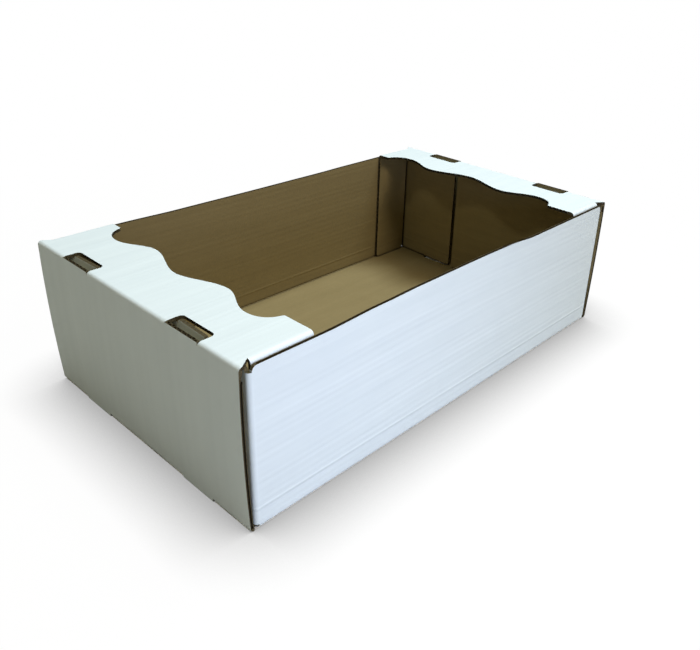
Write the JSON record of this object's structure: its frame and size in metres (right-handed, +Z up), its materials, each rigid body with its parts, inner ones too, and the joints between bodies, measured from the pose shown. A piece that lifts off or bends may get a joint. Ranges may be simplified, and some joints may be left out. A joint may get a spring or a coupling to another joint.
{
  "type": "corrugated cardboard tray box",
  "caption": "Open corrugated board tray, white outside and brown inside, with hinged wavy-edged end covers and slotted ends for stacking.",
  "frame": {"origin": "middle of the underside of the tray, on the surface it stands on", "axes": "+X along the tray's length towards the right end, +Y across it towards the back, +Z up"},
  "size_m": [0.506, 0.295, 0.1466],
  "materials": {
    "board": "matt white liner outside, brown kraft inside and on cut edges"
  },
  "bodies": {
    "tray": {"tray_body": "board"},
    "left_end_cover": {"left_cover": "board"},
    "right_end_cover": {"right_cover": "board"}
  },
  "joints": [
    {"name": "left_cover_crease", "type": "hinge", "parent": "tray", "child": "left_end_cover", "pos_m": [-0.25147, 0, 0.14497], "axis": [0, -1, 0], "range_deg": [0, 170]},
    {"name": "right_cover_crease", "type": "hinge", "parent": "tray", "child": "right_end_cover", "pos_m": [0.25147, 0, 0.14497], "axis": [0, 1, 0], "range_deg": [0, 170]}
  ]
}
